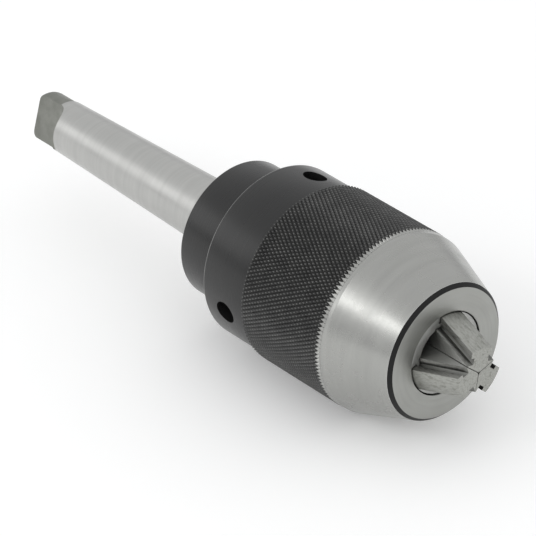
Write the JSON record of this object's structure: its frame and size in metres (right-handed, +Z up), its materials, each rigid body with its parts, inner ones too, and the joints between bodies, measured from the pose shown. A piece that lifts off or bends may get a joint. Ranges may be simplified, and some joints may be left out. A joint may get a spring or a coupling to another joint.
{
  "type": "keyless drill chuck",
  "caption": "Self-tightening keyless drill chuck with a knurled black sleeve, a tapered silver nose with three T-slotted jaws and an integral Morse taper shank with a tang.",
  "frame": {"origin": "centre of the Morse taper's gauge plane, on the chuck's axis, 5 mm behind the hub", "axes": "+X along the axis towards the nose, +Z up, +Y to the left when looking from the shank to the nose"},
  "size_m": [0.1734, 0.05, 0.05],
  "materials": {
    "ground_steel": "turned and ground, satin",
    "nose_steel": "fine turned, satin",
    "guide_steel": "machined, hardened",
    "hard_steel": "machined, oiled",
    "jaw_steel": "ground, hardened",
    "race_steel": "ground and polished",
    "ball_steel": "polished",
    "spring_steel": "blued",
    "oiled_steel": "black oxide, oiled",
    "brass_cage": "machined",
    "black_oxide": "satin black oxide",
    "black_oxide_knurl": "black oxide, fine diamond knurl"
  },
  "bodies": {
    "shank": {"shank_body": "ground_steel", "front_race": "race_steel", "thrust_nut": "oiled_steel", "lock_ring": "spring_steel"},
    "sleeve": {"rear_race": "race_steel", "rear_sleeve": "black_oxide", "knurled_sleeve": "black_oxide_knurl", "nose_cone": "nose_steel", "jaw_guide": "guide_steel"},
    "bearing": {"ball_cage": "brass_cage", "thrust_ball_01": "ball_steel", "thrust_ball_02": "ball_steel", "thrust_ball_03": "ball_steel", "thrust_ball_04": "ball_steel", "thrust_ball_05": "ball_steel", "thrust_ball_06": "ball_steel", "thrust_ball_07": "ball_steel", "thrust_ball_08": "ball_steel", "thrust_ball_09": "ball_steel", "thrust_ball_10": "ball_steel", "thrust_ball_11": "ball_steel", "thrust_ball_12": "ball_steel", "thrust_ball_13": "ball_steel", "thrust_ball_14": "ball_steel", "thrust_ball_15": "ball_steel", "thrust_ball_16": "ball_steel"},
    "screw": {"feed_screw": "hard_steel"},
    "jaw_1": {"jaw_1": "jaw_steel"},
    "jaw_2": {"jaw_2": "jaw_steel"},
    "jaw_3": {"jaw_3": "jaw_steel"}
  },
  "joints": [
    {"name": "sleeve_turn", "type": "hinge", "parent": "shank", "child": "sleeve", "pos_m": [0, 0, 0], "axis": [1, 0, 0], "range_deg": [-32.9, 2011.2]},
    {"name": "bearing_turn", "type": "hinge", "parent": "shank", "child": "bearing", "pos_m": [0.0279, 0, 0], "axis": [1, 0, 0], "range_deg": [-16.55, 1005.7]},
    {"name": "screw_feed", "type": "slide", "parent": "sleeve", "child": "screw", "axis": [1, 0, 0], "range_m": [-0.01676, 0.00028]},
    {"name": "jaw_1_slide", "type": "slide", "parent": "sleeve", "child": "jaw_1", "axis": [0.9397, -0.0594, -0.3368], "range_m": [-0.01784, 0.0003]},
    {"name": "jaw_2_slide", "type": "slide", "parent": "sleeve", "child": "jaw_2", "axis": [0.9397, 0.3214, 0.117], "range_m": [-0.01784, 0.0003]},
    {"name": "jaw_3_slide", "type": "slide", "parent": "sleeve", "child": "jaw_3", "axis": [0.9397, -0.262, 0.2198], "range_m": [-0.01784, 0.0003]}
  ],
  "couplings": [
    {"joint": "bearing_turn", "follows": "sleeve_turn", "ratio": 0.5},
    {"joint": "screw_feed", "follows": "sleeve_turn", "m_per_rad": -0.00047746},
    {"joint": "jaw_1_slide", "follows": "sleeve_turn", "m_per_rad": -0.00050811},
    {"joint": "jaw_2_slide", "follows": "sleeve_turn", "m_per_rad": -0.00050811},
    {"joint": "jaw_3_slide", "follows": "sleeve_turn", "m_per_rad": -0.00050811}
  ]
}
